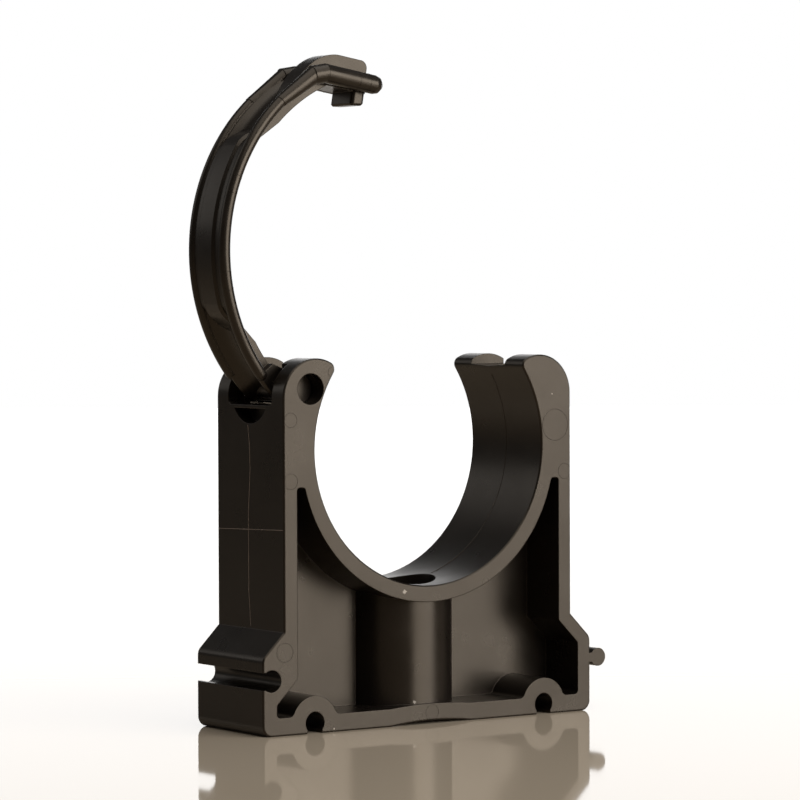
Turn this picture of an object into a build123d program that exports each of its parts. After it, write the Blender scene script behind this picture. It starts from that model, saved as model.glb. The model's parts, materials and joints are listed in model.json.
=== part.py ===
"""Two-piece plastic pipe clip: a screwed-down base with a round saddle, and a retaining bow.

Millimetres, +Z up. X = 0 is the middle of the clip, Y runs along the pipe, and the base stands on Z = 0.
The bow is drawn wide open, as it stands before the pipe is laid in, and it turns about the hinge axis,
which runs along Y through both ears of the left tower.
"""
from math import cos, hypot, radians, sin, sqrt
import os

from build123d import *

# Saddle that holds the pipe
pipe_radius = 25.0
pipe_height = 50.0
clip_width = 21.8
saddle_wall = 2.95

# Outline of the base, seen along the pipe
foot_half = 36.2
tower_half = 31.7
foot_shoulder_height = 13.7
shoulder_radius = 7.0
shoulder_height = 59.3
nose_radius = 1.3
foot_corner = 1.9
foot_shoulder = 1.7
rim_edge = 0.25

# Walls
tower_wall = 2.8
foot_wall = 2.9
floor_wall = 3.2
web_wall = 2.2
pocket_top_drop = 6.4
pocket_tip_round = 0.6
pocket_corner = 0.7
step_left_foot = 5.5
step_right_foot = 12.8
arch_rise = 0.6
arch_rise_inside = 0.45
arch_half = 9.0

# Screw column in the middle
column_radius = 10.0
column_foot = 2.0
column_top = 24.5
screw_hole_radius = 4.3
screw_head_radius = 7.1
screw_seat = 6.2

# Channels along the underside
channel_inset = 10.9
channel_radius = 1.97
channel_height = 1.9
channel_mouth = 3.1
channel_boss_radius = 4.8
channel_boss_round = 1.0

# Bead and groove that join clips side by side
joint_height = 9.8
bead_radius = 1.68
bead_reach = 1.83
bead_neck = 1.8
groove_radius = 1.95
groove_inset = 1.84
groove_mouth = 3.1

# Hinge
pivot_rise = 1.6
pivot_wall = 0.3963
pivot_hole_radius = 2.75
pin_clearance = 0.05
pin_end_half = 7.2
ear_gap_half = 5.25

# Recesses in the outer faces of the towers
notch_half = 7.15
notch_drop = 1.3
notch_depth = 3.4
notch_corner = 0.9
nail_radius = 6.25
nail_lip = 0.6
nail_depth = 2.6

# Latch in the right tower
gap_rise = 5.1
gap_fall = 0.35
catch_half = 4.0
catch_depth = 5.9
catch_rise = 0.2

# Bow, as an arc about its own centre, with angles measured from +X
bow_from_pivot = (21.21, 24.35)
bow_bead_path = 35.25
bow_bead_half = 4.9
bow_bead_radius = 1.05
bead_start_angle = 130.0
bow_web_inner = 34.45
bow_web_outer = 35.4
bow_middle_inner = 33.5
bow_pad_inner = 32.1
bow_pad_half = 3.3
bend_angle = 115.4
elbow_angle = 117.6
elbow_overlap = 0.35
taper_angle = 131.5
taper_radii = (1.1, 1.62)
taper_overlap = 0.45
ramp_top = (135.0, 144.0)
ramp_low = (202.5, 210.0)
bow_low_angle = 218.3

# Round trough in the bow's outer side, and the rib that stands in its middle part
trough_floor = 33.9
trough_radius = 5.1
rib_rise = (139.0, 146.5)
rib_fall = (197.5, 205.0)
rib_foot = 33.75
rib_top = 36.25
rib_half = 2.7
rib_bevel = 0.5
rib_end_round = 5.0

# Low end of the bow
heel_angle = 226.3
heel_radius = 36.0
heel_bevel = 0.4
knuckle_half = 4.9
knuckle_radius = 2.7

# Free end of the bow
tip_fall = 9.46
tip_rod_radius = 1.72
tip_length = 11.8
elbow_length = 1.2
end_rings = 3
tip_beam_depth = 1.75
tip_beam_start = 3.0
tip_beam_top = 0.6

# Upright plate on the free end, which rises out of the trough: radii and angles on the bow
plate_half = 2.15
plate_foot = (33.8, 126.0)
plate_rise = (35.6, 120.0)
plate_crest = (36.75, 113.5)
plate_flat = 5.6
plate_height = 4.3
plate_corner = 1.4

# Lug that latches
lug_half = 3.6
lug_near = 3.2
lug_far = 0.46
lug_depth_bow = 4.3
lug_depth_tip = 3.9
lug_side_round = 0.8
lug_bevel = 0.35

half_width = clip_width / 2
saddle_outer = pipe_radius + saddle_wall
tower_start = foot_shoulder_height + foot_half - tower_half
tower_inner = tower_half - tower_wall
foot_inner = foot_half - foot_wall
slope_run = foot_inner - tower_inner
pocket_top = pipe_height - pocket_top_drop
channel_place = foot_half - channel_inset
tower_top = shoulder_height + shoulder_radius
pivot_z = shoulder_height + pivot_rise
pivot_x = -sqrt((pipe_radius + pivot_wall + pivot_hole_radius) ** 2 - (pivot_z - pipe_height) ** 2)
notch_floor = shoulder_height - notch_drop
notch_back = tower_half - notch_depth
gap_floor = shoulder_height + gap_rise
catch_back = tower_half - catch_depth
catch_floor = shoulder_height + catch_rise
bow_x = pivot_x + bow_from_pivot[0]
bow_z = pivot_z + bow_from_pivot[1]
pin_radius = pivot_hole_radius - pin_clearance
bow_axis = Axis((bow_x, 0, bow_z), (0, -1, 0))
tip_out = (sin(radians(tip_fall)), 0, cos(radians(tip_fall)))
same = 0.001


def on_bow(radius, angle):
    """Point of the front view at a radius and an angle about the bow's centre."""
    return (bow_x + radius * cos(radians(angle)), bow_z + radius * sin(radians(angle)))


def bow_arc(radius, start, end):
    """Arc about the bow's centre between two angles, drawn in the open line block."""
    return ThreePointArc(on_bow(radius, start), on_bow(radius, (start + end) / 2), on_bow(radius, end))


def across_bow(angle):
    """Plane across the bow at an angle: local x points outwards and local y along the pipe."""
    outwards = (cos(radians(angle)), 0, sin(radians(angle)))
    return Plane(origin=(bow_x, 0, bow_z), x_dir=outwards, z_dir=(-outwards[2], 0, outwards[0]))


def on_tip(along, out):
    """Point of the front view at a length along the free end's rods and a distance outwards from them."""
    start = on_bow(bow_bead_path, bend_angle)
    return (start[0] + along * tip_out[2] + out * tip_out[0], start[1] - along * tip_out[0] + out * tip_out[2])


def across_tip(along):
    """Plane across the free end's rods at a length along them, facing away from the bow."""
    place = on_tip(along, 0)
    return Plane(origin=(place[0], 0, place[1]), x_dir=tip_out, z_dir=(tip_out[2], 0, -tip_out[0]))


def round_end(plane, out, along_pipe, radius):
    """Dome of cone rings on the end of a rod that leaves this plane."""
    centre = plane.from_local_coords((out, along_pipe, 0))
    angles = [90 * ring / end_rings for ring in range(end_rings + 1)]
    with BuildPart() as dome:
        with BuildSketch(Plane(origin=centre, x_dir=plane.z_dir, z_dir=plane.y_dir)):
            with BuildLine():
                Polyline((0, 0), *[(radius * sin(radians(a)), radius * cos(radians(a))) for a in angles], (0, 0))
            make_face()
        revolve(axis=Axis(centre, plane.z_dir))
    return dome.part


def rod_piece(start, end, start_radius, end_radius):
    """Straight rod between two points, or a cone where the radii differ."""
    way = end - start
    with BuildPart() as rod:
        with Locations(Plane(origin=(start + end) * 0.5, z_dir=way)):
            if start_radius == end_radius:
                Cylinder(start_radius, way.length)
            else:
                Cone(start_radius, end_radius, way.length)
    return rod.part


def rim_edges(part, place):
    """Edges of a part that lie flat at this place along Y."""
    return [e for e in part.edges() if abs(e.bounding_box().min.Y - place) < same
            and abs(e.bounding_box().max.Y - place) < same]


with BuildPart() as clip_base:
    # Outline of foot, towers and saddle
    with BuildSketch(Plane.XZ) as outline:
        with BuildLine():
            Polyline(
                (-foot_half, 0), (-arch_half, 0), (arch_half, 0), (foot_half, 0),
                (foot_half, foot_shoulder_height), (tower_half, tower_start), (tower_half, shoulder_height),
                (-tower_half, shoulder_height), (-tower_half, tower_start),
                (-foot_half, foot_shoulder_height), (-foot_half, 0),
            )
        make_face()
        with Locations((tower_half - shoulder_radius, shoulder_height),
                       (shoulder_radius - tower_half, shoulder_height)):
            Circle(shoulder_radius)
        with Locations((0, pipe_height)):
            Circle(pipe_radius, mode=Mode.SUBTRACT)
        with BuildLine():
            under = ThreePointArc((-arch_half, 0), (0, arch_rise), (arch_half, 0))
            Line(under @ 1, under @ 0)
        make_face(mode=Mode.SUBTRACT)
        corners = outline.vertices()
        fillet(corners.filter_by(lambda v: v.Y > shoulder_height and abs(v.X) < pipe_radius), nose_radius)
        corners = outline.vertices()
        fillet(corners.filter_by(lambda v: abs(abs(v.X) - foot_half) < same and v.Y < same), foot_corner)
        corners = outline.vertices()
        fillet(corners.filter_by(lambda v: abs(abs(v.X) - foot_half) < same
                                 and abs(v.Y - foot_shoulder_height) < same), foot_shoulder)
    extrude(amount=half_width, both=True)
    for place in (-half_width, half_width):
        chamfer(rim_edges(clip_base, place), rim_edge)

    # Pockets in front of and behind the middle web
    with BuildSketch(Plane.XZ) as pocket:
        with BuildLine():
            Polyline(
                (-tower_inner, pocket_top), (-tower_inner, step_left_foot + slope_run),
                (-foot_inner, step_left_foot), (-foot_inner, floor_wall),
                (foot_inner, floor_wall), (foot_inner, step_right_foot),
                (tower_inner, step_right_foot + slope_run), (tower_inner, pocket_top), (-tower_inner, pocket_top),
            )
        make_face()
        with Locations((0, pipe_height)):
            Circle(saddle_outer, mode=Mode.SUBTRACT)
        with BuildLine():
            over = ThreePointArc((-arch_half, floor_wall), (0, floor_wall + arch_rise_inside),
                                 (arch_half, floor_wall))
            Line(over @ 1, over @ 0)
        make_face(mode=Mode.SUBTRACT)
        with Locations((-channel_place, channel_height), (channel_place, channel_height)):
            Circle(channel_boss_radius, mode=Mode.SUBTRACT)
        corners = pocket.vertices()
        fillet(corners.filter_by(lambda v: v.Y > tower_start), pocket_tip_round)
        corners = pocket.vertices()
        fillet(corners.filter_by(lambda v: abs(v.Y - floor_wall) < same and abs(v.X) < foot_inner - same
                                 and abs(v.X) > arch_half + same), channel_boss_round)
        corners = pocket.vertices()
        fillet(corners.filter_by(lambda v: abs(abs(v.X) - foot_inner) < same), pocket_corner)
        corners = pocket.vertices()
        fillet(corners.filter_by(lambda v: abs(abs(v.X) - tower_inner) < same
                                 and v.Y < tower_start), pocket_corner)
    extrude(amount=half_width, both=True, mode=Mode.SUBTRACT)
    extrude(pocket.sketch, amount=web_wall / 2, both=True)

    # Column round the screw, the recess for its head and its hole
    with BuildSketch(Plane.XY.offset(column_foot)):
        Circle(column_radius)
    extrude(amount=column_top - column_foot)
    with BuildSketch(Plane.XY.offset(screw_seat)):
        Circle(screw_head_radius)
    extrude(amount=pipe_height - screw_seat, mode=Mode.SUBTRACT)
    with BuildSketch(Plane.XY):
        Circle(screw_hole_radius)
    extrude(amount=screw_seat, mode=Mode.SUBTRACT)

    # Bead on the right side, then the groove on the left side and the two channels underneath
    with BuildSketch(Plane.XZ):
        with Locations((foot_half + bead_reach, joint_height)):
            Circle(bead_radius)
            Rectangle(foot_wall + bead_reach, bead_neck, align=(Align.MAX, Align.CENTER))
    extrude(amount=half_width, both=True)
    with BuildSketch(Plane.XZ):
        with Locations((groove_inset - foot_half, joint_height)):
            Circle(groove_radius)
            Rectangle(2 * groove_inset, groove_mouth, align=(Align.MAX, Align.CENTER))
        with Locations((-channel_place, channel_height), (channel_place, channel_height)):
            Circle(channel_radius)
            Rectangle(channel_mouth, 2 * channel_height, align=(Align.CENTER, Align.MAX))
    extrude(amount=half_width, both=True, mode=Mode.SUBTRACT)

    # The same wide notch and the same finger recess in the outer face of each tower
    for side in (-1, 1):
        with BuildSketch(Plane.YZ.offset(side * notch_back)) as notch:
            with Locations((0, notch_floor)):
                Rectangle(2 * notch_half, 2 * shoulder_radius, align=(Align.CENTER, Align.MIN))
            corners = notch.vertices()
            fillet(corners.filter_by(lambda v: abs(v.Y - notch_floor) < same), notch_corner)
        extrude(amount=side * (foot_half - notch_back), mode=Mode.SUBTRACT)
        with BuildSketch(Plane.YZ.offset(side * tower_half)):
            with Locations((0, pivot_z)):
                Circle(nail_radius)
            with Locations((0, notch_floor - nail_lip)):
                Rectangle(2 * nail_radius, 2 * nail_radius, align=(Align.CENTER, Align.MIN),
                          mode=Mode.SUBTRACT)
        extrude(amount=-side * nail_depth, mode=Mode.SUBTRACT)

    # Hinge slot between the ears of the left tower, and the hole for the pins
    with BuildSketch(Plane.YZ.offset(-foot_half)):
        with Locations((0, notch_floor)):
            Rectangle(2 * ear_gap_half, 2 * shoulder_radius, align=(Align.CENTER, Align.MIN))
    extrude(amount=foot_half, mode=Mode.SUBTRACT)
    with BuildSketch(Plane.XZ):
        with Locations((pivot_x, pivot_z)):
            Circle(pivot_hole_radius)
    extrude(amount=half_width, both=True, mode=Mode.SUBTRACT)

    # Latch of the right tower: a shallow saddle for the bow's end and a slot for its lug
    with BuildSketch(Plane.YZ):
        with BuildLine():
            Polyline(
                (-ear_gap_half, gap_floor), (0, gap_floor - gap_fall), (ear_gap_half, gap_floor),
                (ear_gap_half, tower_top), (-ear_gap_half, tower_top), (-ear_gap_half, gap_floor),
            )
        make_face()
    extrude(amount=foot_half, mode=Mode.SUBTRACT)
    with BuildSketch(Plane.XY.offset(catch_floor)):
        with Locations((catch_back, 0)):
            Rectangle(foot_half - catch_back, 2 * catch_half, align=(Align.MIN, Align.CENTER))
    extrude(amount=tower_top - catch_floor, mode=Mode.SUBTRACT)


with BuildPart() as retaining_strap:
    # Thin web between the two edge beads
    with BuildSketch(Plane.XZ):
        with BuildLine():
            inner = bow_arc(bow_web_inner, bend_angle, bow_low_angle)
            outer = bow_arc(bow_web_outer, bow_low_angle, bend_angle)
            Line(inner @ 1, outer @ 0)
            Line(outer @ 1, inner @ 0)
        make_face()
    extrude(amount=bow_bead_half, both=True)

    # Thicker middle strip, which reaches further in at both ends
    with BuildSketch(Plane.XZ):
        with BuildLine():
            upper = bow_arc(bow_pad_inner, bend_angle, ramp_top[0])
            middle = bow_arc(bow_middle_inner, ramp_top[1], ramp_low[0])
            lower = bow_arc(bow_pad_inner, ramp_low[1], bow_low_angle)
            outer = bow_arc(bow_web_outer, bow_low_angle, bend_angle)
            Line(upper @ 1, middle @ 0)
            Line(middle @ 1, lower @ 0)
            Line(lower @ 1, outer @ 0)
            Line(outer @ 1, upper @ 0)
        make_face()
    extrude(amount=bow_pad_half, both=True)

    # Knuckle with its heel, bevelled along its outer edges
    with BuildPart() as knuckle:
        with BuildSketch(Plane.XZ):
            with BuildLine():
                heel = bow_arc(heel_radius, bow_low_angle, heel_angle)
                belly = TangentArc((pivot_x, pivot_z - knuckle_radius), heel @ 1, tangent=(-1, 0))
                Polyline(
                    belly @ 0, (pivot_x, pivot_z + knuckle_radius),
                    on_bow(bow_pad_inner, bow_low_angle), heel @ 0,
                )
            make_face()
        extrude(amount=knuckle_half, both=True)
        for place in (-knuckle_half, knuckle_half):
            outer_edges = [e for e in rim_edges(knuckle, place) if e.geom_type == GeomType.CIRCLE
                           and abs(e.radius - heel_radius) < same]
            chamfer(outer_edges, heel_bevel)

    # Round trough in the outer side, from the bend down to the heel
    with BuildSketch(across_bow(bend_angle)):
        with Locations((trough_floor + trough_radius, 0)):
            Circle(trough_radius)
    revolve(axis=bow_axis, revolution_arc=heel_angle + 2 - bend_angle, mode=Mode.SUBTRACT)

    # Rib that stands in the middle part of the trough, with bevelled edges and sloping ends
    with BuildPart() as rib:
        with BuildSketch(Plane.XZ) as rib_side:
            with BuildLine():
                inner = bow_arc(rib_foot, rib_rise[0], rib_fall[1])
                outer = bow_arc(rib_top, rib_fall[0], rib_rise[1])
                Line(inner @ 1, outer @ 0)
                Line(outer @ 1, inner @ 0)
            make_face()
            corners = rib_side.vertices()
            fillet(corners.filter_by(lambda v: hypot(v.X - bow_x, v.Y - bow_z) > bow_web_outer), rib_end_round)
        extrude(amount=rib_half, both=True)
        for place in (-rib_half, rib_half):
            long_edges = [e for e in rim_edges(rib, place) if e.geom_type != GeomType.CIRCLE
                          or abs(e.radius - rib_foot) > same]
            chamfer(long_edges, rib_bevel)

    # Beads along both edges, from inside the cones to the low end
    with BuildSketch(across_bow(bead_start_angle)):
        with Locations((bow_bead_path, -bow_bead_half), (bow_bead_path, bow_bead_half)):
            Circle(bow_bead_radius)
    revolve(axis=bow_axis, revolution_arc=bow_low_angle - bead_start_angle)

    # Cones that thicken the beads towards the bend, the elbows, and the straight rods with their round ends
    for side in (-1, 1):
        taper_start, elbow_start, elbow_end, tip_end = [Vector(x, side * bow_bead_half, z) for x, z in (
            on_bow(bow_bead_path, taper_angle), on_bow(bow_bead_path, elbow_angle),
            on_tip(elbow_length, 0), on_tip(tip_length, 0))]
        taper_way = (elbow_start - taper_start).normalized()
        elbow_way = (elbow_end - elbow_start).normalized()
        tip_way = (tip_end - elbow_end).normalized()
        taper = rod_piece(taper_start - taper_way * taper_overlap, elbow_start + taper_way * taper_overlap,
                          *taper_radii)
        add(split(taper, bisect_by=across_bow(taper_angle), keep=Keep.BOTTOM, mode=Mode.PRIVATE))
        mitre = Plane(origin=elbow_end, z_dir=elbow_way + tip_way)
        elbow = rod_piece(elbow_start - elbow_way * elbow_overlap, elbow_end + elbow_way, *2 * [tip_rod_radius])
        rod = rod_piece(elbow_end - tip_way, tip_end, *2 * [tip_rod_radius])
        add(split(elbow, bisect_by=mitre, keep=Keep.BOTTOM, mode=Mode.PRIVATE))
        add(split(rod, bisect_by=mitre, keep=Keep.TOP, mode=Mode.PRIVATE))
        add(round_end(across_tip(tip_length), 0, side * bow_bead_half, tip_rod_radius))
        add(round_end(across_bow(bow_low_angle), bow_bead_path, side * bow_bead_half, bow_bead_radius))

    # Beam between the rods
    with BuildSketch(Plane.XZ):
        with BuildLine():
            Polyline(
                on_bow(bow_pad_inner, bend_angle), on_tip(tip_beam_start, -tip_beam_depth),
                on_tip(tip_length - lug_far, -tip_beam_depth), on_tip(tip_length - lug_far, tip_beam_top),
                on_tip(0, tip_beam_top), on_bow(bow_web_inner, elbow_angle), on_bow(bow_pad_inner, bend_angle),
            )
        make_face()
    extrude(amount=bow_pad_half, both=True)

    # Upright plate for the thumb, which rises smoothly out of the trough
    with BuildSketch(Plane.XZ) as plate:
        with BuildLine():
            rise = ThreePointArc(on_bow(*plate_foot), on_bow(*plate_rise), on_bow(*plate_crest))
            Spline(rise @ 1, on_tip(plate_flat, plate_height), tangents=(rise % 1, (tip_out[2], -tip_out[0])))
            Polyline(
                on_tip(plate_flat, plate_height), on_tip(tip_length, plate_height),
                on_tip(tip_length, -tip_beam_top), on_tip(0, -tip_beam_top), on_bow(*plate_foot),
            )
        make_face()
        thumb_corner = on_tip(tip_length, plate_height)
        corners = plate.vertices()
        fillet(corners.filter_by(lambda v: abs(v.X - thumb_corner[0]) < same
                                 and abs(v.Y - thumb_corner[1]) < same), plate_corner)
    extrude(amount=plate_half, both=True)

    # Lug that drops into the slot of the right tower
    with BuildPart() as lug:
        with BuildSketch(Plane.XZ):
            with BuildLine():
                Polyline(
                    on_tip(tip_length - lug_near, 0), on_tip(tip_length - lug_near, -lug_depth_bow),
                    on_tip(tip_length - lug_far, -lug_depth_tip), on_tip(tip_length - lug_far, 0),
                    on_tip(tip_length - lug_near, 0),
                )
            make_face()
        extrude(amount=lug_half, both=True)
        fillet(lug.edges().filter_by(Axis((0, 0, 0), tip_out)), lug_side_round)
        chamfer(lug.faces().sort_by(Axis.Z)[0].edges(), lug_bevel)

    # Round barrel of the hinge, and the two pins
    with BuildSketch(Plane.XZ):
        with Locations((pivot_x, pivot_z)):
            Circle(knuckle_radius)
    extrude(amount=knuckle_half, both=True)
    with BuildSketch(Plane.XZ):
        with Locations((pivot_x, pivot_z)):
            Circle(pin_radius)
    extrude(amount=pin_end_half, both=True)


os.makedirs("parts", exist_ok=True)
clip_base.part.label = "clip_base"
retaining_strap.part.label = "retaining_strap"
export_step(clip_base.part, "parts/clip_base.step")
export_step(retaining_strap.part, "parts/retaining_strap.step")
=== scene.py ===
"""Looks of a two-piece plastic pipe clip: moulded black polypropylene, mould marks, a white studio."""
import json
import math

import bpy
from bpy.props import FloatProperty, FloatVectorProperty, IntProperty, PointerProperty
from mathutils import Matrix, Vector


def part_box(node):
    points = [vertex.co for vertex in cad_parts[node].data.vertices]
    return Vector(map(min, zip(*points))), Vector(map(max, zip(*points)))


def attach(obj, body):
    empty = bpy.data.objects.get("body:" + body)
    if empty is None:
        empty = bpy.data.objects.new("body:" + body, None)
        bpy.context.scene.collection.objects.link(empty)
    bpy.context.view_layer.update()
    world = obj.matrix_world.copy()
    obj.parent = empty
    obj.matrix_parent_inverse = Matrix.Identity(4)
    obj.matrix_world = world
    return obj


bl_info = {
    "name": "Pipe Clip Looks",
    "version": (1, 0, 0),
    "blender": (4, 5, 0),
    "location": "View3D > Sidebar > Pipe Clip",
    "description": "Dresses the pipe clip in moulded plastic and sets it in a white studio",
    "category": "Object",
}

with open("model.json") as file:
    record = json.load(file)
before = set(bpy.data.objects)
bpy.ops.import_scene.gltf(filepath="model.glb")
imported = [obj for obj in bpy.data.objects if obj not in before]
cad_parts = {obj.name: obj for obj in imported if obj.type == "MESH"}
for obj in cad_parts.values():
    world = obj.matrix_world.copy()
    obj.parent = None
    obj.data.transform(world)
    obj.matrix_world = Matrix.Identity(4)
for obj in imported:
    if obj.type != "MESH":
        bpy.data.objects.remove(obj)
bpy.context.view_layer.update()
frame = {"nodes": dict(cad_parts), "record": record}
MM = 0.001

# Read from the frame, in millimetres: the saddle that the pipe sits in, and the flat front of the base
SEAT = next(mount for mount in frame["record"]["mounts"] if mount["name"] == "pipe_seat")
SEAT_RADIUS = SEAT["dims"]["r_mm"]
SEAT_HEIGHT = SEAT["pos_m"][2] / MM
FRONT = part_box("clip_base")[0][1] / MM

# Number of flat sides round each fine line
LINE_SIDES = 8

# Outer face of each tower, in millimetres from the middle
TOWER_SIDE = 31.7

# Y and Z of the seams on the outer face of each tower, in millimetres: the slightly crooked upright one and
# the one across it
UPRIGHT_SEAM = [(0.0, 18.6), (0.6, 25.1), (0.6, 39.0), (0.0, 46.5), (0.2, 51.0), (0.7, 54.4)]
CROSS_SEAM = [(-10.6, 36.2), (10.6, 35.5)]

# Angles where the seams of the saddle start and end, in degrees from +X, on both sides of the screw hole
SADDLE_SEAMS = [(-72, 30), (162, 252)]

# Small scuffs on the base, with a painted highlight for the glint each catches, in millimetres: place and
# radius
GLINTING_SCUFFS = [((-5.9, FRONT, 24.2), 0.33), ((-2.89, -9.57, 3.98), 0.26), ((-21.25, FRONT, 0.6), 0.14),
          ((-TOWER_SIDE, 0.68, 25.1), 0.14), ((27.45, FRONT, 59.0), 0.12)]

# Outlines that round ejector pins leave on the front of the base: X, Z and radius in millimetres, and the
# angles where each one starts and ends
DISCS = [(-30.2, 55.5, 1.3, -157, 157), (-30.2, 44.7, 1.4, -149, 149), (28.1, 53.3, 2.9, 0, 360),
         (30.2, 44.7, 1.4, 31, 329), (-31.6, 14.7, 1.7, 0, 360), (0.09, 2.05, 1.4, 0, 360),
         (-21.3, 63.8, 0.95, 95, 235)]
DISC_STEPS = 48

# The bow at rest, in millimetres: centre of its arc, and radius, Y and thickness (as a radius) of its beads
BOW_CENTRE = Vector((-4.74, 0, 85.25))
BEAD_LINE = 35.25
BEAD_SIDE = 4.9
BEAD_RADIUS = 1.05

# The straight rods that the beads turn into: the bend they start from, their fall, and the ring marks round
# them, in millimetres along the rod and across it
ROD_BEND = Vector((-19.86, 0, 117.09))
ROD_FALL = math.radians(-9.46)
RING_PLACES = (1.3, 8.1, 10.3)
RING_RADIUS = 1.72
RING_STEPS = 32

# Marks of two round ejector pins on the near bead: their angles in degrees, their radius, and how far each
# mark reaches across the bead from its line, in millimetres
PIN_ANGLES = (160.7, 188.5)
PIN_RADIUS = 1.65
PIN_REACH = 0.98
PIN_STEPS = 16

# Raised floor of the bow's trough: degrees over which it rises and falls, radius of its root, of its low ends
# and of its top, and where its strips start and end beside the rib, in millimetres
TROUGH_RISE = (141.5, 148.5)
TROUGH_FALL = (195.5, 202.5)
TROUGH_ROOT = 34.2
TROUGH_END = 34.4
TROUGH_TOP = 35.8
TROUGH_SIDES = (2.4, 4.2)

# The studio, in metres: floor, backdrop and how far behind the part it stands, what the soft boxes point at,
# and the size and place of each of them
FLOOR_SIZE = (4, 4)
BACKDROP_SIZE = (1.5, 1.5)
BACKDROP_DISTANCE = 1.7
LIGHTS_AIM = Vector((0, 0, 0.06))
SOFT_BOXES = {
    "key": ((1.1, 0.7), Vector((0.49, -1.11, 0.36))),
    "top": ((1.6, 1.6), Vector((0.0, -0.4, 1.25))),
    "fill": ((0.8, 0.8), Vector((-0.77, 0.85, 0.64))),
}


def linear(hex_colour):
    """Turns an sRGB colour written as six hex digits into a linear one."""
    parts = [int(hex_colour[i:i + 2], 16) / 255 for i in (0, 2, 4)]
    return [c / 12.92 if c <= 0.04045 else ((c + 0.055) / 1.055) ** 2.4 for c in parts]


class PipeClipPlastic(bpy.types.PropertyGroup):
    """Colour and surface of the moulded plastic."""

    body: FloatVectorProperty(name="Plastic colour", description="Colour of the black polypropylene",
                              subtype="COLOR", size=3, default=linear("15110e"), min=0, max=1)
    # Painted highlight: the scuffs' pale colour stands for the glint of light each small blemish catches
    scuff_glint: FloatVectorProperty(name="Scuff colour", description="Pale colour of the few small scuffs",
                                 subtype="COLOR", size=3, default=linear("9c948a"), min=0, max=1)
    roughness: FloatProperty(name="Roughness", description="How dull the satin skin is",
                             subtype="FACTOR", default=0.3, min=0, max=1)
    edge_round: FloatProperty(name="Edge rounding", description="Radius that softens light on sharp edges",
                              subtype="DISTANCE", unit="LENGTH", default=0.22 * MM, min=0, precision=5)
    grain: FloatProperty(name="Grain size", description="Width of the fine spark-eroded grain on the skin",
                         subtype="DISTANCE", unit="LENGTH", default=0.22 * MM, min=0, precision=5)
    grain_depth: FloatProperty(name="Grain depth", description="Depth of the fine grain",
                               subtype="DISTANCE", unit="LENGTH", default=0.02 * MM, min=0, precision=5)
    flow: FloatProperty(name="Flow size", description="Width of the soft patches where the melt flowed",
                        subtype="DISTANCE", unit="LENGTH", default=9 * MM, min=0, precision=5)


class PipeClipMarks(bpy.types.PropertyGroup):
    """Fine lines that the mould leaves."""

    # Painted highlight: the tower seams are painted pale for the light that catches their ridge
    pale: FloatVectorProperty(name="Tower seam colour", description="Colour of the seams on the towers",
                              subtype="COLOR", size=3, default=linear("a8978c"), min=0, max=1)
    saddle_seam_highlight: FloatVectorProperty(name="Saddle seam colour", description="Colour of the seams in the saddle",
                               # Painted highlight: the saddle seams are painted lighter than the plastic for
                               # the light their ridge catches
                               subtype="COLOR", size=3, default=linear("3e362f"), min=0, max=1)
    seam: FloatProperty(name="Seam thickness", description="Thickness of the line where the mould parts",
                        subtype="DISTANCE", unit="LENGTH", default=0.1 * MM, min=0, precision=5)
    ring: FloatProperty(name="Ring thickness", description="Thickness of the marks that ejector pins leave",
                        subtype="DISTANCE", unit="LENGTH", default=0.07 * MM, min=0, precision=5)
    steps: IntProperty(name="Arc steps", description="Number of straight steps in a long arc",
                       default=72, min=8)


class PipeClipStudio(bpy.types.PropertyGroup):
    """Camera, floor and lights."""

    camera_place: FloatVectorProperty(name="Camera place", description="Where the camera stands",
                                      subtype="TRANSLATION", unit="LENGTH", size=3,
                                      default=(-0.3907, -0.5599, 0.07964))
    camera_turn: FloatProperty(name="Camera turn", description="Turn of the camera about the vertical",
                               subtype="ANGLE", default=math.radians(-34.966))
    camera_down: FloatProperty(name="Camera tilt", description="How far the camera looks down",
                               subtype="ANGLE", default=math.radians(1.8))
    camera_roll: FloatProperty(name="Camera roll", description="Roll of the camera about its line of sight",
                               subtype="ANGLE", default=math.radians(-0.2))
    lens: FloatProperty(name="Lens", description="Focal length on a 36 mm wide sensor",
                        subtype="DISTANCE_CAMERA", default=168.5)
    floor: FloatVectorProperty(name="Floor colour", description="Colour of the pale glossy table",
                               subtype="COLOR", size=3, default=linear("c0b09a"), min=0, max=1)
    backdrop: FloatProperty(name="Backdrop", description="How bright the white backdrop is in reflections",
                            default=1.6, min=0)
    spill: FloatProperty(name="Backdrop spill", description="How bright the backdrop is as a light",
                         default=0.5, min=0)
    key_power: FloatProperty(name="Key light", description="Power of the wide soft box in front",
                             subtype="POWER", default=13.5, min=0)
    fill_power: FloatProperty(name="Fill light", description="Power of the soft box behind on the left",
                              subtype="POWER", default=1.2, min=0)
    top_power: FloatProperty(name="Top light", description="Power of the soft box overhead",
                             subtype="POWER", default=12.0, min=0)
    room: FloatProperty(name="Room light", description="Strength of the dim light from all round",
                        default=0.07, min=0)


class PipeClipSettings(bpy.types.PropertyGroup):
    """All settings of the pipe clip."""

    plastic: PointerProperty(type=PipeClipPlastic, name="Plastic", description="Colour and surface")
    marks: PointerProperty(type=PipeClipMarks, name="Mould marks", description="Fine lines of the mould")
    studio: PointerProperty(type=PipeClipStudio, name="Studio", description="Camera, floor and lights")


def add_node(tree, kind, links=None, sockets=None, **settings):
    """Adds a node: its settings, the values of its input sockets and what links into them."""
    node = tree.nodes.new(kind)
    for name, value in settings.items():
        setattr(node, name, value)
    for key, value in (sockets or {}).items():
        node.inputs[key].default_value = value
    for key, source in (links or {}).items():
        tree.links.new(source, node.inputs[key])
    return node


def bare_material(name):
    """Makes a material whose node tree is still empty."""
    material = bpy.data.materials.new(name)
    material.use_nodes = True
    material.node_tree.nodes.clear()
    return material


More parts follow.
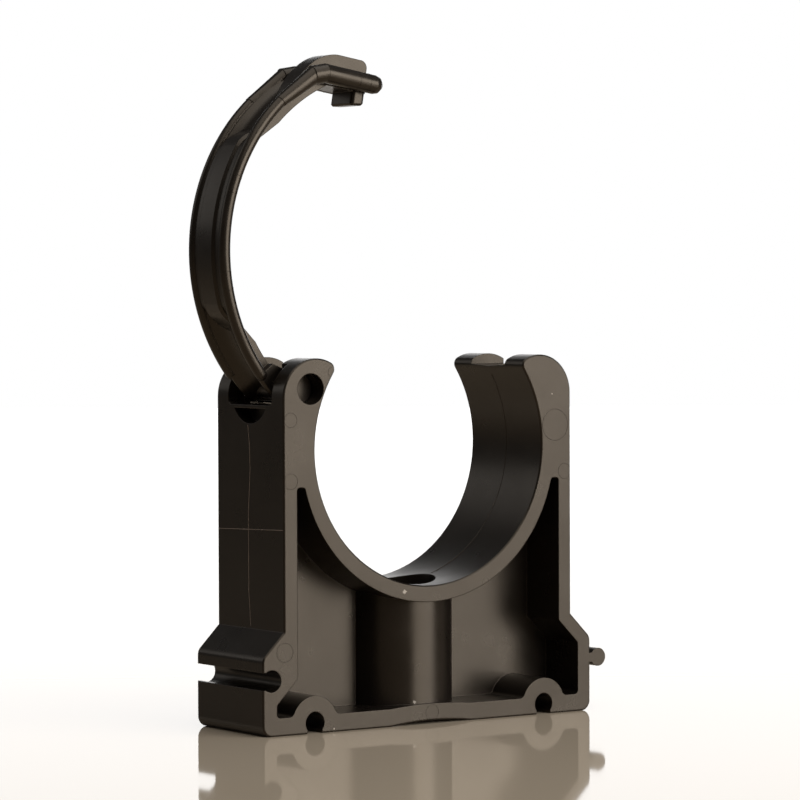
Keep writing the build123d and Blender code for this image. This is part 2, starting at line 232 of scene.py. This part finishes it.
def polypropylene(name, plastic, colour, glinting_scuffs=()):
    """Polypropylene, injection moulded from a spark-eroded tool.

    Carbon black makes it nearly opaque, with a warm brown cast in strong light. The eroded tool leaves a
    satin skin whose fine grain spreads the soft boxes into broad, dim reflections. Scuffs are given by their
    place and radius in millimetres, and painted pale: a painted highlight of the glint each one catches.
    """
    material = bare_material(name)
    tree = material.node_tree
    place = add_node(tree, "ShaderNodeTexCoord").outputs["Object"]
    # Flow of the melt: soft patches a few millimetres wide, a little duller and lighter
    flow = add_node(tree, "ShaderNodeTexNoise", {"Vector": place},
                    {"Scale": 1 / plastic.flow, "Detail": 3.0, "Roughness": 0.6})
    dull = add_node(tree, "ShaderNodeMapRange", {"Value": flow.outputs["Fac"]},
                    {"From Min": 0.3, "From Max": 0.7,
                     "To Min": plastic.roughness - 0.04, "To Max": plastic.roughness + 0.05})
    shade = add_node(tree, "ShaderNodeMapRange", {"Value": flow.outputs["Fac"]},
                     {"From Min": 0.3, "From Max": 0.7, "To Min": 0.9, "To Max": 1.12})
    skin_colour = add_node(tree, "ShaderNodeVectorMath", {"Scale": shade.outputs["Result"]},
                           {0: colour}, operation="SCALE").outputs["Vector"]
    # Grain: the eroded tool's own is a few hundredths of a millimetre, drawn coarser so that it shows
    grain = add_node(tree, "ShaderNodeTexNoise", {"Vector": place},
                     {"Scale": 1 / plastic.grain, "Detail": 2.0, "Roughness": 0.5})
    soft = add_node(tree, "ShaderNodeBevel", sockets={"Radius": plastic.edge_round}, samples=6)
    bump = add_node(tree, "ShaderNodeBump",
                    {"Height": grain.outputs["Fac"], "Normal": soft.outputs["Normal"]},
                    {"Strength": 0.06, "Distance": plastic.grain_depth})
    # Painted highlight: each scuff is painted pale for the glint of light it catches
    # Scuffs: the grain makes their outlines ragged, and its middle value of a half gives the radius
    for spot, radius in glinting_scuffs:
        away = add_node(tree, "ShaderNodeVectorMath", {0: place}, {1: Vector(spot) * MM},
                        operation="DISTANCE")
        ragged = add_node(tree, "ShaderNodeMath", {0: away.outputs["Value"], 1: grain.outputs["Fac"]},
                          operation="MULTIPLY")
        glint_mask = add_node(tree, "ShaderNodeMath", {0: ragged.outputs["Value"]}, {1: radius * MM / 2},
                        operation="LESS_THAN")
        skin_colour = add_node(tree, "ShaderNodeMix", {"Factor": glint_mask.outputs["Value"], "A": skin_colour},
                               {"B": (*plastic.scuff_glint, 1)}, data_type="RGBA").outputs["Result"]
    skin = add_node(tree, "ShaderNodeBsdfPrincipled",
                    {"Base Color": skin_colour, "Roughness": dull.outputs["Result"],
                     "Normal": bump.outputs["Normal"]},
                    {"IOR": 1.49, "Specular Tint": (*linear("ffebd2"), 1)})
    add_node(tree, "ShaderNodeOutputMaterial", {"Surface": skin.outputs["BSDF"]})
    return material


def acrylic_sheet(studio):
    """Cast acrylic sheet, polished: pale, with a clear mirror image of what stands on it."""
    material = bare_material("white acrylic sheet polished")
    tree = material.node_tree
    skin = add_node(tree, "ShaderNodeBsdfPrincipled",
                    sockets={"Base Color": (*studio.floor, 1), "Roughness": 0.05, "IOR": 1.49})
    add_node(tree, "ShaderNodeOutputMaterial", {"Surface": skin.outputs["BSDF"]})
    return material


def lit_paper(studio):
    """White paper lit from behind: plain white to the eye, brighter in the plastic's reflections."""
    material = bare_material("white paper backdrop lit from behind")
    tree = material.node_tree
    path = add_node(tree, "ShaderNodeLightPath").outputs
    mirrored = add_node(tree, "ShaderNodeMapRange", {"Value": path["Is Glossy Ray"]},
                        {"To Min": studio.spill, "To Max": studio.backdrop})
    strength = add_node(tree, "ShaderNodeMix",
                        {"Factor": path["Is Camera Ray"], "A": mirrored.outputs["Result"]}, {"B": 1.0})
    lit = add_node(tree, "ShaderNodeEmission", {"Strength": strength.outputs["Result"]})
    add_node(tree, "ShaderNodeOutputMaterial", {"Surface": lit.outputs["Emission"]})
    return material


def give_material(part, material):
    """Puts one material into every slot of a CAD part."""
    part.data.materials.clear()
    part.data.materials.append(material)


def arc(centre, radius, start, end, steps, y=0.0):
    """Points of an arc in the plane across the pipe, in millimetres and degrees from +X."""
    turn = [math.radians(start + (end - start) * i / steps) for i in range(steps + 1)]
    return [(centre[0] + radius * math.cos(t), y, centre[1] + radius * math.sin(t)) for t in turn]


def on_bow(angle, radius, y):
    """A point of the bow at rest, in millimetres: its angle about the bow's centre is in radians."""
    return BOW_CENTRE + Vector((radius * math.cos(angle), y, radius * math.sin(angle)))


def line_tree(name, round_steps):
    """Geometry Nodes: a round line of a named thickness along every curve."""
    tree = bpy.data.node_groups.new(name, "GeometryNodeTree")
    tree.is_modifier = True
    face = tree.interface
    face.new_socket("Geometry", in_out="INPUT", socket_type="NodeSocketGeometry")
    face.new_socket("Thickness", in_out="INPUT", socket_type="NodeSocketFloat")
    face.new_socket("Material", in_out="INPUT", socket_type="NodeSocketMaterial")
    face.new_socket("Geometry", in_out="OUTPUT", socket_type="NodeSocketGeometry")
    given = add_node(tree, "NodeGroupInput")
    radius = add_node(tree, "ShaderNodeMath", {0: given.outputs["Thickness"]}, {1: 0.5},
                      operation="MULTIPLY")
    outline = add_node(tree, "GeometryNodeCurvePrimitiveCircle", {"Radius": radius.outputs["Value"]},
                       {"Resolution": round_steps})
    line = add_node(tree, "GeometryNodeCurveToMesh",
                    {"Curve": given.outputs["Geometry"], "Profile Curve": outline.outputs["Curve"]},
                    {"Fill Caps": True})
    solid = add_node(tree, "GeometryNodeRealizeInstances", {"Geometry": line.outputs["Mesh"]})
    painted = add_node(tree, "GeometryNodeSetMaterial",
                       {"Geometry": solid.outputs["Geometry"], "Material": given.outputs["Material"]})
    add_node(tree, "NodeGroupOutput", {"Geometry": painted.outputs["Geometry"]})
    return tree


def lines_from_paths(name, paths, thickness, material, body):
    """Makes fine round lines along paths given in millimetres, as one plain mesh on a body.

    Each path is a list of its points, and whether it closes.
    """
    data = bpy.data.curves.new(name, "CURVE")
    data.dimensions = "3D"
    for points, closed in paths:
        spline = data.splines.new("POLY")
        spline.points.add(len(points) - 1)
        for point, place in zip(spline.points, points):
            point.co = (*(Vector(place) * MM), 1)
        spline.use_cyclic_u = closed
    carrier = bpy.data.objects.new(name + "_paths", data)
    bpy.context.collection.objects.link(carrier)
    modifier = carrier.modifiers.new("Lines", "NODES")
    modifier.node_group = line_tree(name + " lines", LINE_SIDES)
    given = {"Thickness": thickness, "Material": material}
    for item in modifier.node_group.interface.items_tree:
        if item.in_out == "INPUT" and item.name in given:
            modifier[item.identifier] = given[item.name]
    bpy.context.view_layer.update()
    mesh = bpy.data.meshes.new_from_object(carrier.evaluated_get(bpy.context.evaluated_depsgraph_get()))
    bpy.data.objects.remove(carrier)
    mesh.name = name
    mesh.materials.clear()
    mesh.materials.append(material)
    for face in mesh.polygons:
        face.use_smooth = True
    piece = bpy.data.objects.new(name, mesh)
    bpy.context.collection.objects.link(piece)
    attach(piece, body)


class PIPECLIP_OT_finish_base(bpy.types.Operator):
    """Gives the base its moulded plastic"""

    bl_idname = "pipeclip.finish_base"
    bl_label = "Finish the Base"

    def execute(self, context):
        plastic = context.scene.pipe_clip.plastic
        # The base's scuffs are painted pale, a painted highlight of the glint each one catches
        material = polypropylene("black polypropylene moulded base", plastic, plastic.body, GLINTING_SCUFFS)
        give_material(frame["nodes"]["clip_base"], material)
        return {"FINISHED"}


class PIPECLIP_OT_finish_bow(bpy.types.Operator):
    """Gives the retaining bow its moulded plastic"""

    bl_idname = "pipeclip.finish_bow"
    bl_label = "Finish the Bow"

    def execute(self, context):
        plastic = context.scene.pipe_clip.plastic
        material = polypropylene("black polypropylene moulded bow", plastic, plastic.body)
        give_material(frame["nodes"]["retaining_strap"], material)
        return {"FINISHED"}


class PIPECLIP_OT_fill_trough(bpy.types.Operator):
    """Raises the bow's trough on both sides of its rib, as shallow as the moulding has it"""

    bl_idname = "pipeclip.fill_trough"
    bl_label = "Fill the Trough"

    def execute(self, context):
        plastic = context.scene.pipe_clip.plastic
        steps = context.scene.pipe_clip.marks.steps
        start, end = TROUGH_RISE[0], TROUGH_FALL[1]
        near, far = TROUGH_SIDES
        vertices, faces, sharp = [], [], []
        for side in (-1, 1):
            first = len(vertices)
            last = first + 4 * steps
            for i in range(steps + 1):
                angle = start + (end - start) * i / steps
                rise = (angle - start) / (TROUGH_RISE[1] - start)
                fall = (end - angle) / (end - TROUGH_FALL[0])
                top = TROUGH_END + (TROUGH_TOP - TROUGH_END) * min(1, rise, fall)
                for radius, y in ((TROUGH_ROOT, near), (top, near), (top, far), (TROUGH_ROOT, far)):
                    vertices.append(on_bow(math.radians(angle), radius, side * y) * MM)
            # The two strips mirror each other, so the faces of one run the other way round
            for corner in range(first, last, 4):
                for k in range(4):
                    after = (k + 1) % 4
                    face = (corner + k, corner + after, corner + 4 + after, corner + 4 + k)
                    faces.append(face[::-side])
                    sharp.append({corner + k, corner + 4 + k})
            faces.append((first + 3, first + 2, first + 1, first)[::-side])
            faces.append((last, last + 1, last + 2, last + 3)[::-side])
        mesh = bpy.data.meshes.new("bow_trough_floor")
        mesh.from_pydata(vertices, [], faces)
        for face in mesh.polygons:
            face.use_smooth = True
        for edge in mesh.edges:
            edge.use_edge_sharp = set(edge.vertices) in sharp
        mesh.materials.append(polypropylene("black polypropylene bow trough", plastic, plastic.body))
        piece = bpy.data.objects.new("bow_trough_floor", mesh)
        context.collection.objects.link(piece)
        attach(piece, "strap")
        return {"FINISHED"}


class PIPECLIP_OT_add_seams(bpy.types.Operator):
    """Adds the raised lines where the halves of the base's mould meet"""

    bl_idname = "pipeclip.add_seams"
    bl_label = "Add the Seams"

    def execute(self, context):
        plastic = context.scene.pipe_clip.plastic
        marks = context.scene.pipe_clip.marks
        # Two thirds of a line's thickness stand out of the saddle
        radius = SEAT_RADIUS - marks.seam / MM / 6
        paths = [(arc((0, SEAT_HEIGHT), radius, start, end, marks.steps), False)
                 for start, end in SADDLE_SEAMS]
        # Painted highlight: the saddle seams get a lighter colour for the light their ridge catches
        material = polypropylene("black polypropylene saddle seam", plastic, marks.saddle_seam_highlight)
        lines_from_paths("saddle_seams", paths, marks.seam, material, "base")
        paths = [([(way * TOWER_SIDE, y, z) for y, z in seam], False)
                 for way in (-1, 1) for seam in (UPRIGHT_SEAM, CROSS_SEAM)]
        # Painted highlight: the tower seams get a pale colour for the light their ridge catches
        material = polypropylene("black polypropylene seam", plastic, marks.pale)
        lines_from_paths("base_seams", paths, marks.seam, material, "base")
        return {"FINISHED"}


class PIPECLIP_OT_add_rings(bpy.types.Operator):
    """Adds the marks that the ejector pins leave on the bow's rods and beads"""

    bl_idname = "pipeclip.add_rings"
    bl_label = "Add the Ring Marks"

    def execute(self, context):
        plastic = context.scene.pipe_clip.plastic
        marks = context.scene.pipe_clip.marks
        sideways = Vector((0, 1, 0))
        along = Vector((math.cos(ROD_FALL), 0, math.sin(ROD_FALL)))
        across = along.cross(sideways)
        turns = [math.tau * i / RING_STEPS for i in range(RING_STEPS)]
        paths = []
        for side in (-1, 1):
            for distance in RING_PLACES:
                middle = ROD_BEND + along * distance + sideways * side * BEAD_SIDE
                ring = [middle + (across * math.cos(t) + sideways * math.sin(t)) * RING_RADIUS for t in turns]
                paths.append((ring, True))
        # The pins pushed on the front of the near bead, so a round pin leaves two short curves across it
        for angle in PIN_ANGLES:
            for end in (-1, 1):
                curve = []
                for i in range(PIN_STEPS + 1):
                    out = PIN_REACH * (2 * i / PIN_STEPS - 1)
                    turn = math.radians(angle) + end * math.sqrt(PIN_RADIUS ** 2 - out ** 2) / BEAD_LINE
                    proud = math.sqrt(BEAD_RADIUS ** 2 - out ** 2)
                    curve.append(on_bow(turn, BEAD_LINE + out, -BEAD_SIDE - proud))
                paths.append((curve, False))
        material = polypropylene("black polypropylene ring mark", plastic, plastic.body)
        lines_from_paths("bow_ring_marks", paths, marks.ring, material, "strap")
        return {"FINISHED"}


class PIPECLIP_OT_add_discs(bpy.types.Operator):
    """Adds the outlines that the ejector pins leave on the front of the base"""

    bl_idname = "pipeclip.add_discs"
    bl_label = "Add the Disc Marks"

    def execute(self, context):
        plastic = context.scene.pipe_clip.plastic
        marks = context.scene.pipe_clip.marks
        paths = [(arc((x, z), radius, start, end, DISC_STEPS, FRONT), False)
                 for x, z, radius, start, end in DISCS]
        material = polypropylene("black polypropylene disc mark", plastic, plastic.body)
        lines_from_paths("base_disc_marks", paths, marks.ring, material, "base")
        return {"FINISHED"}


def sheet(name, size, place, material):
    """Adds a flat rectangle of the stage, in metres."""
    corners = [place @ Vector((x * size[0] / 2, y * size[1] / 2, 0))
               for x, y in ((-1, -1), (1, -1), (1, 1), (-1, 1))]
    mesh = bpy.data.meshes.new(name)
    mesh.from_pydata(corners, [], [(0, 1, 2, 3)])
    mesh.materials.append(material)
    made = bpy.data.objects.new(name, mesh)
    bpy.context.collection.objects.link(made)
    return made


def soft_box(name, size, place, power):
    """Adds a soft box that points at the part and isn't seen by the camera."""
    data = bpy.data.lights.new(name, "AREA")
    data.shape = "RECTANGLE"
    data.size, data.size_y = size
    data.energy = power
    lamp = bpy.data.objects.new(name, data)
    lamp.location = place
    lamp.rotation_euler = (LIGHTS_AIM - place).to_track_quat("-Z", "Y").to_euler()
    lamp.visible_camera = False
    bpy.context.collection.objects.link(lamp)


def light_room(scene, studio):
    """Gives the world a dim even light, and plain white where the camera sees it."""
    scene.world = bpy.data.worlds.new("studio")
    scene.world.use_nodes = True
    tree = scene.world.node_tree
    tree.nodes.clear()
    white = (1, 1, 1, 1)
    path = add_node(tree, "ShaderNodeLightPath")
    dim = add_node(tree, "ShaderNodeBackground", sockets={"Color": white, "Strength": studio.room})
    plain = add_node(tree, "ShaderNodeBackground", sockets={"Color": white, "Strength": 1.0})
    seen = add_node(tree, "ShaderNodeMixShader", {0: path.outputs["Is Camera Ray"],
                                                  1: dim.outputs["Background"],
                                                  2: plain.outputs["Background"]})
    add_node(tree, "ShaderNodeOutputWorld", {"Surface": seen.outputs["Shader"]})


def add_camera(scene, studio):
    """Adds the camera at the photograph's viewing angle."""
    data = bpy.data.cameras.new("camera")
    data.sensor_width = 36
    data.lens = studio.lens
    data.clip_start, data.clip_end = 0.05, 20
    camera = bpy.data.objects.new("camera", data)
    turn = (Matrix.Rotation(studio.camera_turn, 4, "Z")
            @ Matrix.Rotation(math.radians(90) - studio.camera_down, 4, "X")
            @ Matrix.Rotation(studio.camera_roll, 4, "Z"))
    camera.matrix_world = Matrix.Translation(studio.camera_place) @ turn
    bpy.context.collection.objects.link(camera)
    scene.camera = camera


class PIPECLIP_OT_set_stage(bpy.types.Operator):
    """Adds the glossy pale floor, the white backdrop, the soft boxes and the camera"""

    bl_idname = "pipeclip.set_stage"
    bl_label = "Set the Stage"

    def execute(self, context):
        studio = context.scene.pipe_clip.studio
        context.scene.view_settings.view_transform = "Standard"
        floor = sheet("floor", FLOOR_SIZE, Matrix.Identity(4), acrylic_sheet(studio))
        sight = Vector((-math.sin(studio.camera_turn), math.cos(studio.camera_turn), 0))
        upright = Matrix.Rotation(studio.camera_turn, 4, "Z") @ Matrix.Rotation(math.radians(90), 4, "X")
        behind = Matrix.Translation(sight * BACKDROP_DISTANCE) @ upright
        backdrop = sheet("backdrop", BACKDROP_SIZE, behind, lit_paper(studio))
        for name, (size, place) in SOFT_BOXES.items():
            soft_box(name, size, place, getattr(studio, name + "_power"))
        light_room(context.scene, studio)
        add_camera(context.scene, studio)
        return {"FINISHED"}


STEPS = (PIPECLIP_OT_finish_base, PIPECLIP_OT_finish_bow, PIPECLIP_OT_fill_trough, PIPECLIP_OT_add_seams,
         PIPECLIP_OT_add_rings, PIPECLIP_OT_add_discs, PIPECLIP_OT_set_stage)


class PIPECLIP_PT_sidebar(bpy.types.Panel):
    """Sidebar panel of the pipe clip"""

    bl_label = "Pipe Clip"
    bl_space_type = "VIEW_3D"
    bl_region_type = "UI"
    bl_category = "Pipe Clip"

    def draw(self, context):
        settings = context.scene.pipe_clip
        for group in (settings.plastic, settings.marks, settings.studio):
            box = self.layout.box()
            for name in group.__annotations__:
                box.prop(group, name)
        for operator in STEPS:
            self.layout.operator(operator.bl_idname)


CLASSES = (PipeClipPlastic, PipeClipMarks, PipeClipStudio, PipeClipSettings, *STEPS, PIPECLIP_PT_sidebar)


def register():
    for each in CLASSES:
        bpy.utils.register_class(each)
    bpy.types.Scene.pipe_clip = PointerProperty(type=PipeClipSettings)


def unregister():
    del bpy.types.Scene.pipe_clip
    for each in reversed(CLASSES):
        bpy.utils.unregister_class(each)


def main():
    """Registers the add-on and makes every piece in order."""
    register()
    bpy.ops.pipeclip.finish_base()
    bpy.ops.pipeclip.finish_bow()
    bpy.ops.pipeclip.fill_trough()
    bpy.ops.pipeclip.add_seams()
    bpy.ops.pipeclip.add_rings()
    bpy.ops.pipeclip.add_discs()
    bpy.ops.pipeclip.set_stage()


if __name__ == "__main__":
    main()
